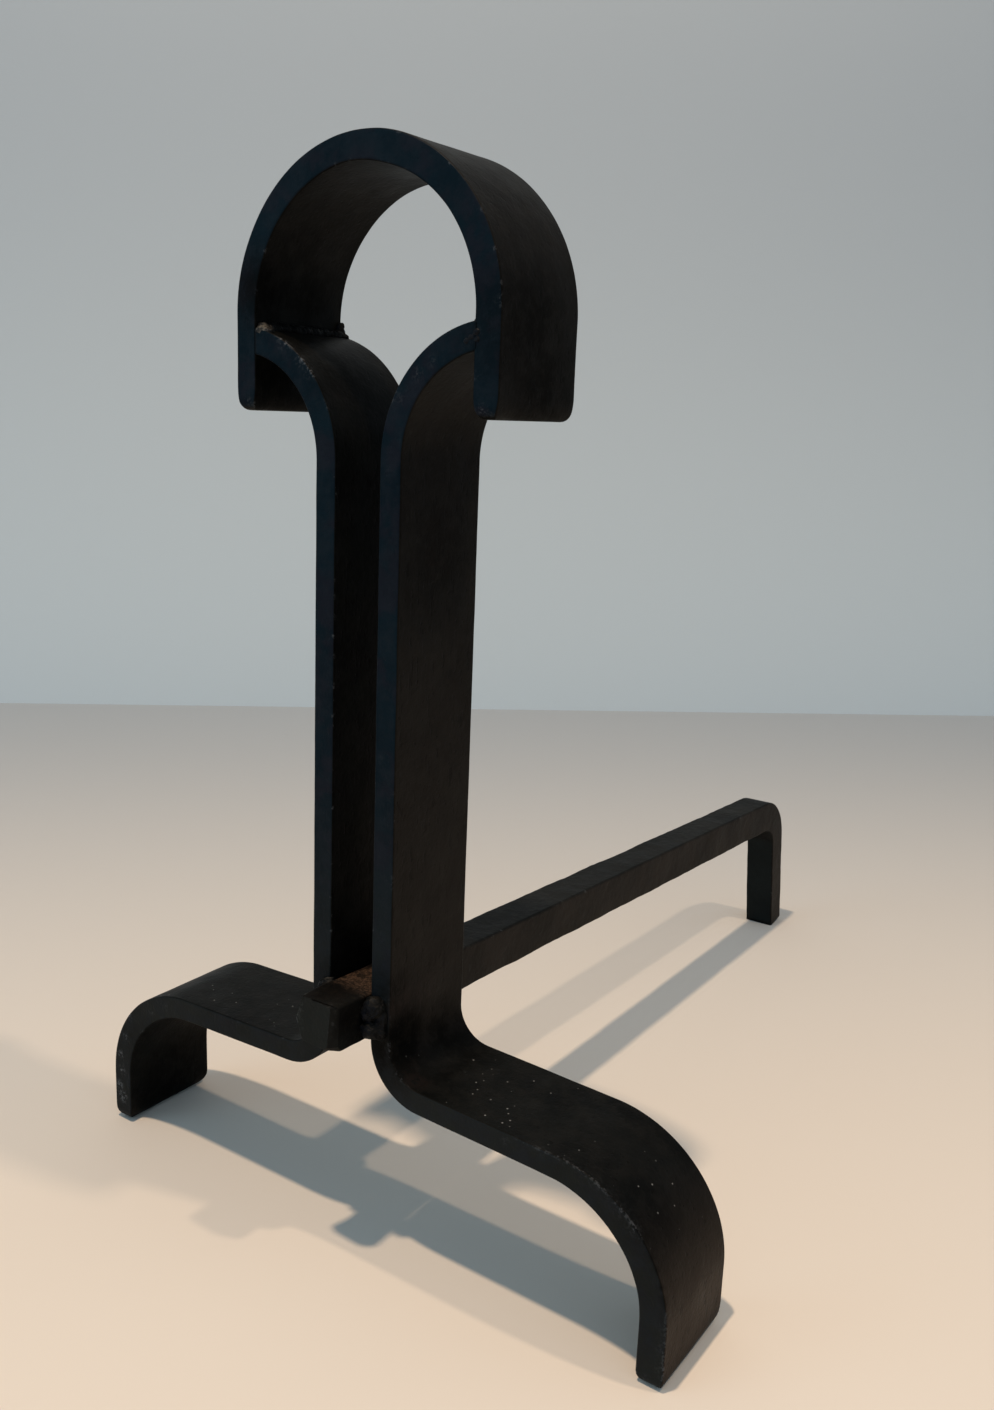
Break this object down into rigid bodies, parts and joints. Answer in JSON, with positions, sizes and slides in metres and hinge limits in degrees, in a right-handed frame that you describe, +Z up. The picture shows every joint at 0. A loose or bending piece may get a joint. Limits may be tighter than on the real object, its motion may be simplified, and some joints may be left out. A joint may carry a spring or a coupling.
{
  "type": "andiron",
  "caption": "Freestanding welded steel andiron with an arch-topped front stand and a long rear-footed log bar that holds burning logs off the hearth.",
  "frame": {"origin": "on the floor, midway between the two front feet and midway between the log bar's nose and its heel", "axes": "+X to the right seen from the front, +Y back along the log bar, +Z up"},
  "size_m": [0.303, 0.48, 0.444],
  "materials": {
    "flat_bar": "satin black paint",
    "square_bar": "worn satin black paint over mill scale",
    "weld": "rough painted weld bead"
  },
  "bodies": {
    "root": {"arch": "flat_bar", "left_upright": "flat_bar", "right_upright": "flat_bar", "log_bar": "square_bar", "arch_weld_left": "weld", "arch_weld_right": "weld", "bar_weld_front_left": "weld", "bar_weld_front_right": "weld", "bar_weld_rear_left": "weld", "bar_weld_rear_right": "weld"}
  },
  "joints": []
}
